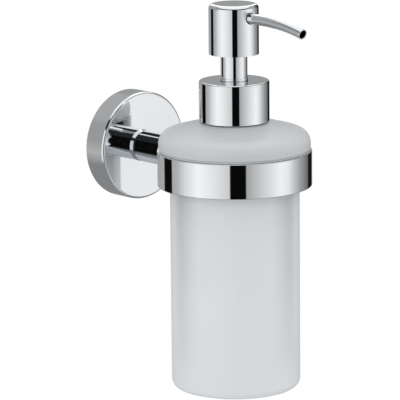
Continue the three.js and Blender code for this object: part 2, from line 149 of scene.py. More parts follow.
class Signal:
    """A shader socket that Python arithmetic works on: each expression adds its Math node."""

    def __init__(self, tree, socket):
        self.tree = tree
        self.socket = socket

    def math(self, operation, *values):
        node = self.tree.nodes.new("ShaderNodeMath")
        node.operation = operation
        for entry, value in zip(node.inputs, values):
            if isinstance(value, Signal):
                self.tree.links.new(value.socket, entry)
            else:
                entry.default_value = value
        return Signal(self.tree, node.outputs[0])

    def __add__(self, other):
        return self.math("ADD", self, other)

    def __sub__(self, other):
        return self.math("SUBTRACT", self, other)

    def __rsub__(self, other):
        return self.math("SUBTRACT", other, self)

    def __mul__(self, other):
        return self.math("MULTIPLY", self, other)

    def __truediv__(self, other):
        return self.math("DIVIDE", self, other)

    __radd__ = __add__
    __rmul__ = __mul__

    def held(self, low, high):
        """Kept between low and high."""
        return self.math("MINIMUM", self.math("MAXIMUM", self, low), high)

    def ramp(self, low, high):
        """0 at low, 1 at high, straight between."""
        return ((self - low) / (high - low)).held(0, 1)


class Finish:
    """A node tree under construction: a material, or the world."""

    def __init__(self, owner):
        owner.use_nodes = True
        self.owner = owner
        self.tree = owner.node_tree
        self.tree.nodes.clear()

    def node(self, kind, settings=None, inputs=None, output=0):
        node = self.tree.nodes.new(kind)
        for setting, value in (settings or {}).items():
            if setting == "stops":
                ramp = node.color_ramp.elements
                while len(ramp) < len(value):
                    ramp.new(1)
                for stop, (place, level) in zip(ramp, value):
                    stop.position = place
                    stop.color = (*([level] * 3 if isinstance(level, float) else level), 1)
            else:
                setattr(node, setting, value)
        for entry, value in (inputs or {}).items():
            if isinstance(value, Signal):
                self.tree.links.new(value.socket, node.inputs[entry])
            else:
                node.inputs[entry].default_value = value
        return Signal(self.tree, node.outputs[output]) if node.outputs else None

    def place(self):
        """The point on the piece, in metres in the frame."""
        return self.node("ShaderNodeTexCoord", output=3)

    def split(self, vector):
        """The three parts of a vector."""
        node = self.tree.nodes.new("ShaderNodeSeparateXYZ")
        self.tree.links.new(vector.socket, node.inputs[0])
        return [Signal(self.tree, output) for output in node.outputs]

    def ray(self, kind):
        """1 where the ray that looks is of this kind, 0 elsewhere."""
        node = self.tree.nodes.new("ShaderNodeLightPath")
        return Signal(self.tree, node.outputs[f"Is {kind} Ray"])

    def noise(self, scale, detail=3.0, roughness=0.5):
        return self.node(
            "ShaderNodeTexNoise",
            inputs={
                "Vector": self.place(),
                "Scale": scale,
                "Detail": detail,
                "Roughness": roughness,
            },
        )

    def blend(self, share, first, second):
        """A colour that goes from the first to the second."""
        return self.node(
            "ShaderNodeMix",
            {"data_type": "RGBA"},
            {"Factor": share, 6: (*first, 1), 7: (*second, 1)},
            output=2,
        )

    def bump(self, height, strength, distance):
        return self.node(
            "ShaderNodeBump",
            inputs={"Height": height, "Strength": strength, "Distance": distance},
        )

    def surface(self, **sockets):
        """Ends the material in a Principled shader with these sockets."""
        names = {name.replace("_", " ").title(): value for name, value in sockets.items()}
        names = {name.replace("Ior", "IOR"): value for name, value in names.items()}
        shader = self.node("ShaderNodeBsdfPrincipled", inputs=names)
        self.node("ShaderNodeOutputMaterial", inputs={"Surface": shader})
        return self.owner


def zinc():
    """Grey, slightly mottled, with the fine skin that a die leaves."""
    dark_zinc, pale_zinc = (0.42, 0.43, 0.44), (0.55, 0.56, 0.57)
    cast = Finish(bpy.data.materials.new("cast_zinc"))
    mottle = cast.noise(scale=260, detail=4)
    skin = cast.noise(scale=5200, detail=2)
    return cast.surface(
        base_color=cast.blend(mottle.ramp(0.3, 0.7), dark_zinc, pale_zinc),
        metallic=0.9,
        roughness=0.42 + skin * 0.18,
        normal=cast.bump(skin, strength=0.35, distance=0.05 * mm),
    )


def fit(piece, node, body, material):
    """The piece stands for its frame node, moves with that body and wears that material."""
    piece.data.materials.clear()
    piece.data.materials.append(material)
    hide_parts(node)
    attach(piece, body)


out_from_wall = (math.pi / 2, 0, 0)

plate_low, plate_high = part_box("wall_plate")
plate_radius = (plate_high.x - plate_low.x) / 2
plate_depth = plate_high.y - plate_low.y
plate_floor = 3 * mm
plate_pocket = 6.3 * mm
wall_hole = 2.3 * mm
wall_hole_sink = 4.4 * mm
wall_hole_offset = 15 * mm
plate_edge = 0.3 * mm

plate = turn(
    "zinc_wall_plate",
    [
        (plate_radius, 0),
        (plate_radius, plate_depth),
        (plate_pocket, plate_depth),
        (plate_pocket, plate_floor),
    ],
    solid=True,
)
for side in (-1, 1):
    sink = turn(
        "screw_sink",
        [
            (wall_hole, -plate_depth),
            (wall_hole, plate_depth - (wall_hole_sink - wall_hole)),
            (wall_hole_sink, plate_depth),
            (wall_hole_sink, plate_depth * 2),
        ],
        solid=True,
        sides=48,
    )
    drill(plate, stand(sink, (side * wall_hole_offset, 0, 0)))
break_edges(plate, plate_edge)
stand(plate, turned=out_from_wall)
fit(plate, "wall_plate", "bracket", zinc())


# ---- Rosette ----
# A shallow drawn brass cup with a rounded front edge, polished and chrome plated.
# It slides over the wall plate and carries the arm on its face.


def chrome():
    """Bright plating: nearly a mirror, with faint polishing haze and a trace of finger marks."""
    clean_chrome, hazy_chrome = (0.87, 0.893, 0.912), (0.84, 0.862, 0.88)
    plating = Finish(bpy.data.materials.new("bright_chrome"))
    haze = plating.noise(scale=45, detail=3, roughness=0.6)
    polish = plating.noise(scale=1400, detail=2)
    wave = plating.noise(scale=120, detail=1)
    return plating.surface(
        base_color=plating.blend(haze.ramp(0.35, 0.75), clean_chrome, hazy_chrome),
        metallic=1.0,
        roughness=0.03 + haze.ramp(0.45, 0.8) * 0.03 + polish * 0.012,
        normal=plating.bump(wave + polish * 0.05, strength=0.05, distance=0.04 * mm),
    )


bright_chrome = chrome()

rosette_low, rosette_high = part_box("rosette")
rosette_radius = (rosette_high.x - rosette_low.x) / 2
rosette_depth = rosette_high.y - rosette_low.y
rosette_wall = 1.5 * mm
rosette_edge = 1.3 * mm
rosette_rim = 0.15 * mm
arm_screw_hole = 3.3 * mm
grub_hole = 2.3 * mm

rosette = turn(
    "chrome_rosette",
    [
        (rosette_radius - rosette_wall, 0),
        (rosette_radius, 0),
        (rosette_radius, rosette_depth),
        (arm_screw_hole, rosette_depth),
        (arm_screw_hole, rosette_depth - rosette_wall),
        (rosette_radius - rosette_wall, rosette_depth - rosette_wall),
    ],
    sides=192,
)


on_the_rim = 0.01 * mm


def round_rim(piece, radius, height, width, segments=6):
    """Rounds the one round edge of a turned piece that lies at this radius and height."""
    take_up(piece)
    bpy.ops.object.mode_set(mode="EDIT")
    bpy.ops.mesh.select_all(action="DESELECT")
    bpy.ops.mesh.select_mode(type="EDGE")
    bpy.ops.object.mode_set(mode="OBJECT")
    corners = piece.data.vertices
    for edge in piece.data.edges:
        ends = [corners[i].co for i in edge.vertices]
        edge.select = all(
            math.dist((math.hypot(end.x, end.y), end.z), (radius, height)) < on_the_rim
            for end in ends
        )
    bpy.ops.object.mode_set(mode="EDIT")
    bpy.ops.mesh.bevel(offset=width, segments=segments, affect="EDGES")
    bpy.ops.object.mode_set(mode="OBJECT")


round_rim(rosette, rosette_radius, rosette_depth, rosette_edge)
grub_drill = turn(
    "grub_drill",
    [(grub_hole, -rosette_radius - rosette_wall), (grub_hole, -rosette_radius + 2 * rosette_wall)],
    solid=True,
    sides=32,
)
stand(rosette, turned=out_from_wall)
drill(rosette, stand(grub_drill, (0, -plate_depth / 2, 0)))
break_edges(rosette, rosette_rim, segments=2)
fit(rosette, "rosette", "bracket", bright_chrome)


# ---- Rosette grub screw ----
# A headless steel screw with a hexagon socket, turned in from below to lock the rosette.


def steel():
    """Plain stainless steel with a fine grain and slight staining."""
    bright_steel, dull_steel = (0.56, 0.56, 0.57), (0.47, 0.47, 0.48)
    bar = Finish(bpy.data.materials.new("plain_steel"))
    grain = bar.noise(scale=3800, detail=3)
    stain = bar.noise(scale=500, detail=2)
    return bar.surface(
        base_color=bar.blend(stain.ramp(0.3, 0.75), bright_steel, dull_steel),
        metallic=1.0,
        roughness=0.24 + grain * 0.16,
        normal=bar.bump(grain, strength=0.15, distance=0.03 * mm),
    )


plain_steel = steel()


grub_low, grub_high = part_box("rosette_grub_screw")
grub_radius = (grub_high.x - grub_low.x) / 2
grub_cone = 0.9 * mm
grub_socket = 1.15 * mm
socket_depth = 1.8 * mm
grub_edge = 0.15 * mm

grub = turn(
    "grub_screw",
    [
        (grub_radius, grub_low.z),
        (grub_radius, grub_high.z - grub_cone),
        (grub_radius - grub_cone, grub_high.z),
    ],
    solid=True,
    sides=48,
)
hex_punch = turn(
    "hex_punch",
    [(grub_socket, grub_low.z - socket_depth), (grub_socket, grub_low.z + socket_depth)],
    solid=True,
    sides=6,
)
drill(grub, hex_punch)
break_edges(grub, grub_edge, segments=2)
stand(grub, (0, -plate_depth / 2, 0))
fit(grub, "rosette_grub_screw", "bracket", plain_steel)


# ---- Arm ----
# A short solid bar, chrome plated, tapered a little where it meets the rosette.
# Its other end is hollowed so that it lies snugly against the ring.

arm_low, arm_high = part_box("arm")
ring_low, ring_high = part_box("ring")
arm_radius = (arm_high.x - arm_low.x) / 2
arm_root = -arm_high.y
arm_taper = 0.9 * mm
arm_taper_length = 1.3 * mm
ring_radius = (ring_high.x - ring_low.x) / 2
glass_axis = Vector((0, (ring_low.y + ring_high.y) / 2, 0))
saddle_gap = 0.12 * mm
saddle_depth = 4 * mm
arm_end = -glass_axis.y - ring_radius + saddle_depth
arm_edge = 0.12 * mm

arm = turn(
    "chrome_arm",
    [
        (arm_radius - arm_taper, arm_root),
        (arm_radius, arm_root + arm_taper_length),
        (arm_radius, arm_end),
    ],
    solid=True,
    sides=128,
)
stand(arm, turned=out_from_wall)
saddle = turn(
    "saddle_cutter",
    [(ring_radius + saddle_gap, -2 * arm_radius), (ring_radius + saddle_gap, 2 * arm_radius)],
    solid=True,
    sides=256,
)
drill(arm, stand(saddle, glass_axis))
break_edges(arm, arm_edge, segments=2)
fit(arm, "arm", "bracket", bright_chrome)


# ---- Arm screw and washer ----
# A steel socket screw, turned in through the rosette from behind, clamps the arm on its face.
# Both keep the frame's own shape and only take their finish here.


def finish_frame_piece(node, material):
    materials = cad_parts[node].data.materials
    materials.clear()
    materials.append(material)


finish_frame_piece("arm_screw", plain_steel)
finish_frame_piece("arm_washer", plain_steel)


# ---- Ring ----
# A flat brass band, chrome plated, with lightly broken edges. The bottle hangs in it.

ring_wall = 3 * mm
ring_edge = 0.35 * mm

ring = turn(
    "chrome_ring",
    [
        (ring_radius - ring_wall, ring_low.z),
        (ring_radius, ring_low.z),
        (ring_radius, ring_high.z),
        (ring_radius - ring_wall, ring_high.z),
    ],
    sides=256,
)
break_edges(ring, ring_edge)
stand(ring, glass_axis)
fit(ring, "ring", "bracket", bright_chrome)


# ---- Ring screw ----
# A countersunk steel screw from inside the ring into the arm's end. The liner covers it.

finish_frame_piece("ring_screw", plain_steel)


# ---- Ring liner ----
# A sleeve of natural polypropylene inside the ring. Its flange lies on the ring's edge and
# carries the bottle's shoulder, so that glass never touches metal.


def natural_plastic(name, tint):
    """Milky, half clear plastic with a soft sheen."""
    cloudy_tint = tuple(part * 0.93 for part in tint)
    resin = Finish(bpy.data.materials.new(name))
    cloud = resin.noise(scale=180, detail=3)
    skin = resin.noise(scale=900, detail=2)
    return resin.surface(
        base_color=resin.blend(cloud, tint, cloudy_tint),
        roughness=0.28 + cloud * 0.12,
        transmission_weight=0.35,
        ior=1.49,
        normal=resin.bump(skin, strength=0.08, distance=0.04 * mm),
    )


liner_low, liner_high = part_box("ring_liner")
liner_flange = 0.75 * mm
liner_overhang = 0.45 * mm
liner_flange_radius = (liner_high.x - liner_low.x) / 2 + liner_overhang
liner_gap = 0.3 * mm
liner_wall = 2 * mm
liner_outer = ring_radius - ring_wall - liner_gap
liner_inner = liner_outer - liner_wall
liner_chamfer = 1 * mm
liner_edge = 0.15 * mm
liner_tint = (0.8, 0.82, 0.83)

liner = turn(
    "plastic_liner",
    [
        (liner_inner, liner_low.z),
        (liner_outer, liner_low.z),
        (liner_outer, liner_high.z - liner_flange),
        (liner_flange_radius, liner_high.z - liner_flange),
        (liner_flange_radius, liner_high.z),
        (liner_inner + liner_chamfer, liner_high.z),
        (liner_inner, liner_high.z - liner_chamfer),
    ],
)
break_edges(liner, liner_edge, segments=2)
stand(liner, glass_axis)
liner_plastic = natural_plastic("liner_plastic", liner_tint)
fit(liner, "ring_liner", "liner", liner_plastic)


# ---- Bottle ----
# Pressed glass, satin etched all over: a straight body with a heavy foot, a wider shoulder
# that rests on the liner, a low dome, and a threaded neck under the collar.


def bow(centre_radius, centre_height, radius, start, end, steps=8):
    """Stations along an arc, from one angle to another in degrees."""
    angles = [math.radians(start + (end - start) * step / steps) for step in range(steps + 1)]
    return [
        (centre_radius + radius * math.cos(a), centre_height + radius * math.sin(a)) for a in angles
    ]


glass_low, glass_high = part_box("bottle")
body_radius = liner_inner - 0.45 * mm
body_wall = 3.5 * mm
body_fillet = 4 * mm
bore = body_radius - body_wall
foot_floor = 5 * mm
floor_height = glass_low.z + foot_floor
foot_punt = 1.2 * mm
punt_radius = body_radius * 0.6
punt_slope = body_radius * 0.68
foot_radius = body_radius * 0.74

shoulder_radius = (glass_high.x - glass_low.x) / 2
shoulder_bottom = liner_high.z + 0.05 * mm
shoulder_side = 2.75 * mm
shoulder_edge = 6.05 * mm
shoulder_turn = 75
shoulder_corner = 0.5 * mm
shoulder_root = 0.5 * mm
hollow_radius = shoulder_radius - 5 * mm
hollow_bottom = shoulder_bottom + 1.8 * mm
hollow_side = shoulder_bottom + shoulder_side
hollow_slope = 3 * mm
hollow_rise = 2 * mm
throat_start = shoulder_bottom - 5 * mm
throat_middle = shoulder_bottom - 1.5 * mm
throat_step = 1 * mm

dome_top = liner_high.z + 12.8 * mm
dome_reach = 14.33 * mm
dome_bulge = 0.5
neck_radius = 12.6 * mm
neck_bore = 10.9 * mm
neck_fillet = 1.2 * mm
neck_funnel = 3 * mm
mouth_outside = 0.5 * mm
mouth_inside = 0.4 * mm

rim_radius = shoulder_radius - shoulder_edge
rim_height = shoulder_bottom + shoulder_side
rim = bow(rim_radius, rim_height, shoulder_edge, 0, shoulder_turn, steps=12)
dome_radius, dome_height = rim[-1]


def satin_glass():
    """Etched glass: a pale, faintly blue body that scatters light, with a fine matt grain. Painted
    shade darkens each side of the hollow body, where the wall is seen edge on, more so higher up but
    not at the solid foot. More painted shade darkens the top of the body a little and the shoulder
    more, most towards the collar and least along its rim, which so reads as a painted highlight."""
    pale_glass, shade_and_cloud_black = (0.685, 0.708, 0.728), (0.0, 0.0, 0.0)
    glass = Finish(bpy.data.materials.new("satin_glass"))
    grain = glass.noise(scale=6500, detail=2, roughness=0.6)
    cloud = glass.noise(scale=38, detail=3)
    height = glass.split(glass.place())[2]
    slant = glass.node("ShaderNodeLayerWeight", inputs={"Blend": 0.5}, output=1)
    # Painted shade: along each side of the hollow body, where the wall is seen edge on, the glass is
    # darkened, more so higher up and not at the solid foot.
    wall = slant.ramp(0.2, 0.42) * (1 - slant.ramp(0.5, 0.66))
    above_foot = height.ramp(glass_low.z + 8 * mm, glass_low.z + 20 * mm)
    hollow = above_foot * (1 - height.ramp(0, 4 * mm))
    side_shade_by_height = 0.05 + height.ramp(glass_low.z + 15 * mm, 0) * 0.2
    # Painted shade: the top of the body is a little darker.
    upper_painted_shade = height.ramp(-60 * mm, -15 * mm) * 0.05
    # Painted shade on the shoulder: darker towards the collar and below the rim, lightest along the
    # rim as a painted highlight.
    crown_painted_shade = height.ramp(rim_height + 5 * mm, dome_top) * 0.08
    below_rim_painted_shade = 0.05 - height.ramp(rim_height, rim_height + 4 * mm) * 0.05
    shoulder = height.ramp(4 * mm, 8 * mm) * (0.14 + crown_painted_shade + below_rim_painted_shade)
    # All the painted shade, with a faint random cloud that is the glass's own tone, pulls the pale
    # glass towards black.
    painted_shade_and_cloud = wall * hollow * side_shade_by_height + upper_painted_shade + shoulder + cloud.ramp(0.3, 0.7) * 0.03
    return glass.surface(
        base_color=glass.blend(painted_shade_and_cloud, pale_glass, shade_and_cloud_black),
        roughness=0.38 + grain * 0.08,
        ior=1.52,
        specular_ior_level=0.5,
        subsurface_weight=0.25,
        subsurface_radius=(0.9, 0.95, 1.0),
        subsurface_scale=0.006,
        normal=glass.bump(grain, strength=0.12, distance=0.02 * mm),
    )


def dome(share):
    """A station on the dome, from the shoulder's rim to the neck."""
    lift = math.sin(share * dome_bulge) / math.sin(dome_bulge)
    radius = dome_radius + (dome_reach - dome_radius) * share
    return (radius, dome_height + (dome_top - dome_height) * lift)


corner_centre = (shoulder_radius - shoulder_corner, shoulder_bottom + shoulder_corner)
neck_centre = (neck_radius + neck_fillet, dome_top + neck_fillet)
dome_steps = 10

bottle = turn(
    "satin_bottle",
    [
        (punt_radius, glass_low.z + foot_punt),
        (punt_slope, glass_low.z + foot_punt / 2),
        (foot_radius, glass_low.z),
        *bow(body_radius - body_fillet, glass_low.z + body_fillet, body_fillet, -90, 0),
        (body_radius, shoulder_bottom - shoulder_root),
        (body_radius + shoulder_root, shoulder_bottom),
        *bow(*corner_centre, shoulder_corner, -90, 0, steps=4),
        *rim,
        *[dome(step / dome_steps) for step in range(1, dome_steps + 1)],
        *bow(*neck_centre, neck_fillet, -110, -180, steps=4),
        *bow(neck_radius - mouth_outside, glass_high.z - mouth_outside, mouth_outside, 0, 90, steps=3),
        *bow(neck_bore + mouth_inside, glass_high.z - mouth_inside, mouth_inside, 90, 180, steps=3),
        (neck_bore, dome_top),
        (neck_bore + neck_funnel, dome_top - neck_funnel),
        (hollow_radius - hollow_slope, hollow_side + hollow_rise),
        (hollow_radius, hollow_side),
        (hollow_radius, hollow_bottom),
        (bore + throat_step, throat_middle),
        (bore, throat_start),
        *bow(bore - body_fillet, floor_height + body_fillet, body_fillet, 0, -90),
    ],
    solid=True,
    sides=192,
)

# The neck's thread: a round bead wound up the neck, then joined to the glass.
thread_radius = 1.1 * mm
thread_stands = 1.15 * mm
thread_pitch = 4.23 * mm
thread_turns = 1.25
thread_first = 4.9 * mm
thread_steps = 72

put_down()
bpy.ops.mesh.primitive_circle_add(
    vertices=12,
    radius=thread_radius,
    location=(neck_radius + thread_stands - thread_radius, 0, dome_top + thread_first),
    rotation=(math.pi / 2, 0, 0),
    fill_type="NGON",
)
thread = bpy.context.object
bpy.ops.object.transform_apply(location=True, rotation=True)
bpy.ops.object.mode_set(mode="EDIT")
bpy.ops.mesh.select_all(action="SELECT")
for _ in range(thread_steps):
    climb = thread_pitch * thread_turns / thread_steps
    bpy.ops.mesh.extrude_region_move(TRANSFORM_OT_translate={"value": (0, 0, climb)})
    bpy.ops.transform.rotate(
        value=-2 * math.pi * thread_turns / thread_steps,
        orient_axis="Z",
        center_override=(0, 0, 0),
    )
bpy.ops.mesh.select_all(action="SELECT")
bpy.ops.mesh.normals_make_consistent(inside=False)
put_down()
apply(bottle, "BOOLEAN", operation="UNION", solver="EXACT", object=thread)
bpy.data.objects.remove(thread)
take_up(bottle)
bpy.ops.object.shade_smooth_by_angle(angle=math.radians(40))
stand(bottle, glass_axis)
fit(bottle, "bottle", "glass", satin_glass())


# ---- Pump gasket ----
# A soft foam washer that the cylinder's flange presses on the bottle's mouth.


def soft_seal():
    """Pale closed-cell foam or rubber, dull, with a fine open skin."""
    open_foam, closed_foam = (0.72, 0.71, 0.67), (0.82, 0.81, 0.77)
    foam = Finish(bpy.data.materials.new("soft_seal"))
    cells = foam.noise(scale=2600, detail=3)
    return foam.surface(
        base_color=foam.blend(cells, open_foam, closed_foam),
        roughness=0.7 + cells * 0.2,
        normal=foam.bump(cells, strength=0.4, distance=0.08 * mm),
    )


pale_seal = soft_seal()


gasket_low, gasket_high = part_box("pump_gasket")
gasket_radius = (gasket_high.x - gasket_low.x) / 2
gasket_hole = 9.1 * mm
gasket_edge = 0.15 * mm

gasket = turn(
    "foam_gasket",
    [
        (gasket_hole, gasket_low.z),
        (gasket_radius, gasket_low.z),
        (gasket_radius, gasket_high.z),
        (gasket_hole, gasket_high.z),
    ],
    sides=96,
)
break_edges(gasket, gasket_edge, segments=2)
stand(gasket, glass_axis)
fit(gasket, "pump_gasket", "gasket", pale_seal)


# ---- Pump cylinder ----
# Moulded polypropylene: a flange that hangs on the mouth, the piston's bore, the inlet
# valve's chamber and the socket that holds the dip tube.


def moulded_plastic():
    """White polypropylene with a soft moulded sheen."""
    ivory, white = (0.8, 0.8, 0.785), (0.85, 0.85, 0.84)
    resin = Finish(bpy.data.materials.new("white_moulding"))
    skin = resin.noise(scale=2400, detail=2)
    cloud = resin.noise(scale=90, detail=2)
    return resin.surface(
        base_color=resin.blend(cloud, ivory, white),
        roughness=0.34 + skin * 0.14,
        ior=1.49,
        subsurface_weight=0.12,
        subsurface_radius=(1.0, 0.95, 0.9),
        subsurface_scale=0.001,
        normal=resin.bump(skin, strength=0.12, distance=0.03 * mm),
    )


white_moulding = moulded_plastic()

housing_low, housing_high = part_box("pump_housing")
flange_radius = (housing_high.x - housing_low.x) / 2
flange_depth = 1.2 * mm
cylinder_radius = 8.7 * mm
cylinder_bore = 7.5 * mm
cylinder_floor = housing_low.z + 21.8 * mm
chamber_radius = 2.9 * mm
chamber_bottom = cylinder_floor - 5.8 * mm
valve_hole = 1.3 * mm
seat_bottom = chamber_bottom - (chamber_radius - valve_hole)
socket_top = seat_bottom - 1.9 * mm
socket_bore = 3.5 * mm
socket_radius = 5.1 * mm
cone_start = cylinder_floor - 1.2 * mm
cone_end = cylinder_floor - 3 * mm
cylinder_edge = 0.2 * mm

cylinder = turn(
    "pump_cylinder",
    [
        (flange_radius, housing_high.z),
        (flange_radius, housing_high.z - flange_depth),
        (cylinder_radius, housing_high.z - flange_depth),
        (cylinder_radius, cone_start),
        (socket_radius, cone_end),
        (socket_radius, housing_low.z),
        (socket_bore, housing_low.z),
        (socket_bore, socket_top),
        (valve_hole, socket_top),
        (valve_hole, seat_bottom),
        (chamber_radius, chamber_bottom),
        (chamber_radius, cylinder_floor),
        (cylinder_bore, cylinder_floor),
        (cylinder_bore, housing_high.z),
    ],
    sides=96,
)
break_edges(cylinder, cylinder_edge, segments=2)
stand(cylinder, glass_axis)
fit(cylinder, "pump_housing", "pump", white_moulding)


# ---- Dip tube ----
# An extruded tube of natural polyethylene, pushed into the cylinder's socket and cut
# just above the glass floor.

tube_low, tube_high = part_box("dip_tube")
tube_radius = (tube_high.x - tube_low.x) / 2
tube_bore = 2.4 * mm
tube_edge = 0.1 * mm
tube_tint = (0.82, 0.84, 0.85)

dip_tube = turn(
    "dip_tube_extrusion",
    [
        (tube_bore, tube_low.z),
        (tube_radius, tube_low.z),
        (tube_radius, tube_high.z),
        (tube_bore, tube_high.z),
    ],
    sides=64,
)
break_edges(dip_tube, tube_edge, segments=2)
stand(dip_tube, glass_axis)
tube_plastic = natural_plastic("tube_plastic", tube_tint)
fit(dip_tube, "dip_tube", "pump", tube_plastic)


# ---- Valve balls ----
# Two small steel balls that rest on the cylinder's inlet cone and on the rod's outlet cone.

for node, body in (("inlet_ball", "inlet_valve"), ("outlet_ball", "outlet_valve")):
    ball_low, ball_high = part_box(node)
    centre = (ball_low + ball_high) / 2
    put_down()
    bpy.ops.mesh.primitive_ico_sphere_add(
        subdivisions=4, radius=(ball_high.z - ball_low.z) / 2, location=centre
    )
    ball = bpy.context.object
    ball.name = "steel_" + node
    bpy.ops.object.transform_apply(location=True)
    bpy.ops.object.shade_smooth()
    fit(ball, node, body, plain_steel)


# ---- Return spring ----
# Stainless wire wound in an open coil between the cylinder's floor and the piston.

spring_low, spring_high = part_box("return_spring")
wire_radius = 0.5 * mm
coil_radius = 5.4 * mm
coil_turns = 7
wire_points = 10
steps_per_turn = 32

put_down()
bpy.ops.mesh.primitive_circle_add(
    vertices=wire_points,
    radius=wire_radius,
    location=(coil_radius, 0, spring_low.z + wire_radius),
    rotation=(math.pi / 2, 0, 0),
    fill_type="NGON",
)
spring = bpy.context.object
spring.name = "wire_spring"
bpy.ops.object.transform_apply(location=True, rotation=True)
bpy.ops.object.mode_set(mode="EDIT")
bpy.ops.mesh.select_all(action="SELECT")
coil_steps = coil_turns * steps_per_turn
coil_height = spring_high.z - spring_low.z - 2 * wire_radius
for _ in range(coil_steps):
    climb = coil_height / coil_steps
    bpy.ops.mesh.extrude_region_move(TRANSFORM_OT_translate={"value": (0, 0, climb)})
    bpy.ops.transform.rotate(
        value=-2 * math.pi / steps_per_turn, orient_axis="Z", center_override=(0, 0, 0)
    )
bpy.ops.mesh.select_all(action="SELECT")
bpy.ops.mesh.normals_make_consistent(inside=False)
put_down()
take_up(spring)
bpy.ops.object.shade_smooth_by_angle(angle=math.radians(40))
stand(spring, glass_axis)
fit(spring, "return_spring", "spring", plain_steel)
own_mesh(spring)


# ---- Piston and rod ----
# A two-lipped soft seal on the lower end of a hollow moulded rod.

piston_low, piston_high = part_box("piston")
piston_lip = (piston_high.x - piston_low.x) / 2
piston_waist = piston_lip - 1.2 * mm
piston_bore = 3.9 * mm
piston_step = (piston_high.z - piston_low.z) / 6
piston_edge = 0.2 * mm

piston = turn(
    "piston_seal",
    [
        (piston_bore, piston_low.z),
        (piston_waist, piston_low.z),
        (piston_lip, piston_low.z + piston_step),
        (piston_lip, piston_low.z + 2 * piston_step),
        (piston_waist, piston_low.z + 2.8 * piston_step),
        (piston_waist, piston_high.z - 2.8 * piston_step),
        (piston_lip, piston_high.z - 2 * piston_step),
        (piston_lip, piston_high.z),
        (piston_bore, piston_high.z),
    ],
    sides=64,
)
break_edges(piston, piston_edge, segments=2, over=25)
stand(piston, glass_axis)
fit(piston, "piston", "plunger", pale_seal)

rod_low, rod_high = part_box("piston_rod")
rod_radius = (rod_high.x - rod_low.x) / 2
rod_bore = 1.4 * mm
rod_pocket = 2.5 * mm
rod_pocket_depth = 3.5 * mm
rod_edge = 0.15 * mm

rod = turn(
    "hollow_rod",
    [
        (rod_bore, rod_low.z),
        (rod_radius, rod_low.z),
        (rod_radius, rod_high.z),
        (rod_pocket, rod_high.z),
        (rod_pocket, rod_high.z - rod_pocket_depth),
        (rod_bore, rod_high.z - rod_pocket_depth - (rod_pocket - rod_bore)),
    ],
    sides=64,
)
break_edges(rod, rod_edge, segments=2)
stand(rod, glass_axis)
fit(rod, "piston_rod", "plunger", white_moulding)


# ---- Guide bush ----
# A moulded bush pressed into the cylinder's mouth. It guides the rod, stops the piston
# on its way up and holds the foot of the guide tube.

bush_low, bush_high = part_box("guide_bush")
guide_low, guide_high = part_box("guide_tube")
bush_radius = (bush_high.x - bush_low.x) / 2
bush_seat = 6.43 * mm
bush_seat_height = guide_low.z - 0.2 * mm
bush_edge = 0.15 * mm

bush = turn(
    "moulded_bush",
    [
        (piston_bore, bush_low.z),
        (bush_radius, bush_low.z),
        (bush_radius, bush_high.z),
        (bush_seat, bush_high.z),
        (bush_seat, bush_seat_height),
        (piston_bore, bush_seat_height),
    ],
    sides=64,
)
break_edges(bush, bush_edge, segments=2)
stand(bush, glass_axis)
fit(bush, "guide_bush", "pump", white_moulding)


# ---- Closure ----
# The moulded screw cap and the drawn chrome collar pressed over it. They turn together.

cap_low, cap_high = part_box("closure_cap")
cap_radius = (cap_high.x - cap_low.x) / 2
cap_bore = 14.1 * mm
cap_hole = 7.9 * mm
cap_top = 1.2 * mm
cap_edge = 0.2 * mm

cap = turn(
    "screw_cap",
    [
        (cap_bore, cap_low.z),
        (cap_radius, cap_low.z),
        (cap_radius, cap_high.z),
        (cap_hole, cap_high.z),
        (cap_hole, cap_high.z - cap_top),
        (cap_bore, cap_high.z - cap_top),
    ],
    sides=128,
)
break_edges(cap, cap_edge, segments=2)
stand(cap, glass_axis)
fit(cap, "closure_cap", "closure", white_moulding)

collar_low, collar_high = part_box("collar_shell")
collar_radius = (collar_high.x - collar_low.x) / 2
collar_wall = 0.8 * mm
collar_edge = 0.75 * mm
collar_rim = 0.12 * mm
collar_hole = 6.43 * mm

collar = turn(
    "chrome_collar",
    [
        (collar_radius - collar_wall, collar_low.z),
        (collar_radius, collar_low.z),
        (collar_radius, collar_high.z),
        (collar_hole, collar_high.z),
        (collar_hole, collar_high.z - collar_wall),
        (collar_radius - collar_wall, collar_high.z - collar_wall),
    ],
    sides=192,
)
round_rim(collar, collar_radius, collar_high.z, collar_edge)
break_edges(collar, collar_rim, segments=2)
stand(collar, glass_axis)
fit(collar, "collar_shell", "closure", bright_chrome)


# ---- Guide tube ----
# A chrome plated tube that stands in the bush, with a thin lip that lies on the collar.

guide_radius = 6.13 * mm
guide_bore = 5.3 * mm
guide_lip = (guide_high.x - guide_low.x) / 2
lip_bottom = collar_high.z + 0.2 * mm
lip_top = lip_bottom + 1 * mm
guide_edge = 0.09 * mm

guide = turn(
    "chrome_guide_tube",
    [
        (guide_bore, guide_low.z),
        (guide_radius, guide_low.z),
        (guide_radius, lip_bottom),
        (guide_lip, lip_bottom),
        (guide_lip, lip_top),
        (guide_radius, lip_top),
        (guide_radius, guide_high.z),
        (guide_bore, guide_high.z),
    ],
    sides=128,
)
break_edges(guide, guide_edge, segments=2)
stand(guide, glass_axis)
fit(guide, "guide_tube", "pump", bright_chrome)


# ---- Pump head ----
# A turned chrome cap over a moulded core. The core joins the rod to the spout.

